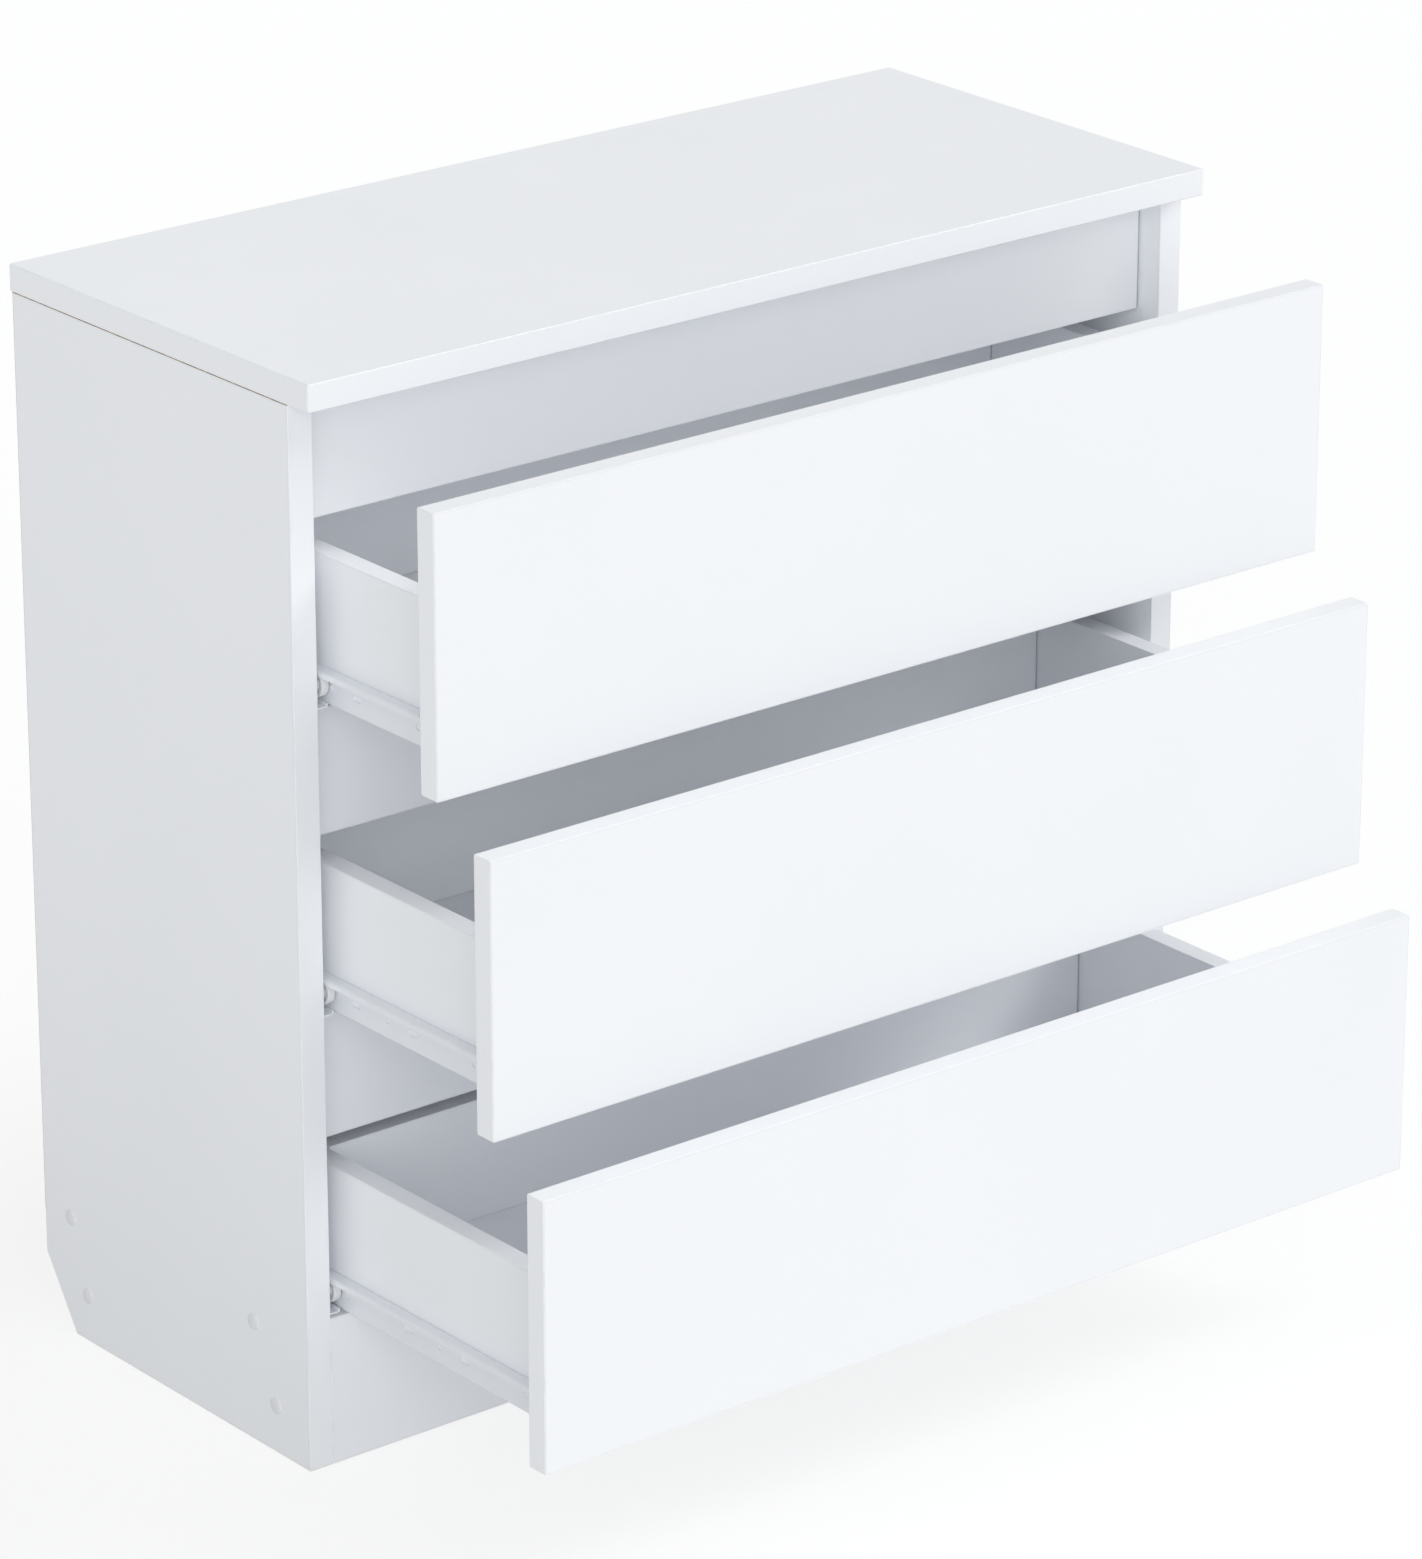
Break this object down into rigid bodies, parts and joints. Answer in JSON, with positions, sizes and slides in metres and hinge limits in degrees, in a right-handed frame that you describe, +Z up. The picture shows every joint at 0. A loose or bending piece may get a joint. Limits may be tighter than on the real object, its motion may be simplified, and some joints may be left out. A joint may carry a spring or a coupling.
{
  "type": "chest of drawers",
  "caption": "Low white laminated chest with three handleless overlay drawers on roller runners, finger gaps between the fronts and a skirting cut at the rear feet.",
  "frame": {"origin": "on the floor, at the middle of the plinth board's underside", "axes": "+X to the right of a person who faces the fronts, +Y to the back, +Z up; the drawers open along -Y"},
  "size_m": [0.803, 0.5915, 0.804],
  "materials": {
    "white_board": "satin white melamine laminate",
    "white_hardboard": "white lacquered hardboard, brown where the edge is bare",
    "white_epoxy_steel": "white epoxy powder coat, satin",
    "white_nylon": "moulded nylon, satin",
    "white_plastic": "moulded, low gloss",
    "zinc_plated_steel": "zinc plated",
    "beech": "raw fluted beech"
  },
  "bodies": {
    "carcass": {"top_panel": "white_board", "left_side": "white_board", "right_side": "white_board", "bottom_panel": "white_board", "plinth_board": "white_board", "front_stretcher": "white_board", "rear_stretcher": "white_board", "upper_rail": "white_board", "middle_rail": "white_board", "lower_rail": "white_board", "back_panel": "white_hardboard", "carcass_screws": "zinc_plated_steel", "cover_caps": "white_plastic", "carcass_cam_fittings": "zinc_plated_steel", "carcass_dowels": "beech", "cabinet_runner_screws": "zinc_plated_steel", "back_nails": "zinc_plated_steel", "upper_left_cabinet_runner": "white_epoxy_steel", "upper_right_cabinet_runner": "white_epoxy_steel", "middle_left_cabinet_runner": "white_epoxy_steel", "middle_right_cabinet_runner": "white_epoxy_steel", "lower_left_cabinet_runner": "white_epoxy_steel", "lower_right_cabinet_runner": "white_epoxy_steel"},
    "upper_drawer": {"upper_drawer_front": "white_board", "upper_drawer_left_side": "white_board", "upper_drawer_right_side": "white_board", "upper_drawer_back": "white_board", "upper_drawer_bottom": "white_hardboard", "upper_drawer_left_runner": "white_epoxy_steel", "upper_drawer_right_runner": "white_epoxy_steel", "upper_drawer_cam_fittings": "zinc_plated_steel", "upper_drawer_box_screws": "zinc_plated_steel", "upper_drawer_runner_screws": "zinc_plated_steel"},
    "upper_front_rollers": {"upper_front_rollers": "white_nylon"},
    "upper_rear_rollers": {"upper_rear_rollers": "white_nylon"},
    "middle_drawer": {"middle_drawer_front": "white_board", "middle_drawer_left_side": "white_board", "middle_drawer_right_side": "white_board", "middle_drawer_back": "white_board", "middle_drawer_bottom": "white_hardboard", "middle_drawer_left_runner": "white_epoxy_steel", "middle_drawer_right_runner": "white_epoxy_steel", "middle_drawer_cam_fittings": "zinc_plated_steel", "middle_drawer_box_screws": "zinc_plated_steel", "middle_drawer_runner_screws": "zinc_plated_steel"},
    "middle_front_rollers": {"middle_front_rollers": "white_nylon"},
    "middle_rear_rollers": {"middle_rear_rollers": "white_nylon"},
    "lower_drawer": {"lower_drawer_front": "white_board", "lower_drawer_left_side": "white_board", "lower_drawer_right_side": "white_board", "lower_drawer_back": "white_board", "lower_drawer_bottom": "white_hardboard", "lower_drawer_left_runner": "white_epoxy_steel", "lower_drawer_right_runner": "white_epoxy_steel", "lower_drawer_cam_fittings": "zinc_plated_steel", "lower_drawer_box_screws": "zinc_plated_steel", "lower_drawer_runner_screws": "zinc_plated_steel"},
    "lower_front_rollers": {"lower_front_rollers": "white_nylon"},
    "lower_rear_rollers": {"lower_rear_rollers": "white_nylon"}
  },
  "joints": [
    {"name": "upper_drawer_slide", "type": "slide", "parent": "carcass", "child": "upper_drawer", "axis": [0, -1, 0], "range_m": [-0.135, 0.115]},
    {"name": "upper_front_roller_spin", "type": "hinge", "parent": "carcass", "child": "upper_front_rollers", "pos_m": [0, 0.003, 0.57967], "axis": [1, 0, 0], "continuous": true},
    {"name": "upper_rear_roller_spin", "type": "hinge", "parent": "upper_drawer", "child": "upper_rear_rollers", "pos_m": [0, 0.1435, 0.57507], "axis": [1, 0, 0], "continuous": true},
    {"name": "middle_drawer_slide", "type": "slide", "parent": "carcass", "child": "middle_drawer", "axis": [0, -1, 0], "range_m": [-0.1915, 0.0585]},
    {"name": "middle_front_roller_spin", "type": "hinge", "parent": "carcass", "child": "middle_front_rollers", "pos_m": [0, 0.003, 0.35483], "axis": [1, 0, 0], "continuous": true},
    {"name": "middle_rear_roller_spin", "type": "hinge", "parent": "middle_drawer", "child": "middle_rear_rollers", "pos_m": [0, 0.087, 0.35023], "axis": [1, 0, 0], "continuous": true},
    {"name": "lower_drawer_slide", "type": "slide", "parent": "carcass", "child": "lower_drawer", "axis": [0, -1, 0], "range_m": [-0.245, 0.005]},
    {"name": "lower_front_roller_spin", "type": "hinge", "parent": "carcass", "child": "lower_front_rollers", "pos_m": [0, 0.003, 0.13], "axis": [1, 0, 0], "continuous": true},
    {"name": "lower_rear_roller_spin", "type": "hinge", "parent": "lower_drawer", "child": "lower_rear_rollers", "pos_m": [0, 0.0335, 0.1254], "axis": [1, 0, 0], "continuous": true}
  ],
  "couplings": [
    {"joint": "upper_front_roller_spin", "follows": "upper_drawer_slide", "rad_per_m": 100},
    {"joint": "upper_rear_roller_spin", "follows": "upper_drawer_slide", "rad_per_m": 100},
    {"joint": "middle_front_roller_spin", "follows": "middle_drawer_slide", "rad_per_m": 100},
    {"joint": "middle_rear_roller_spin", "follows": "middle_drawer_slide", "rad_per_m": 100},
    {"joint": "lower_front_roller_spin", "follows": "lower_drawer_slide", "rad_per_m": 100},
    {"joint": "lower_rear_roller_spin", "follows": "lower_drawer_slide", "rad_per_m": 100}
  ]
}
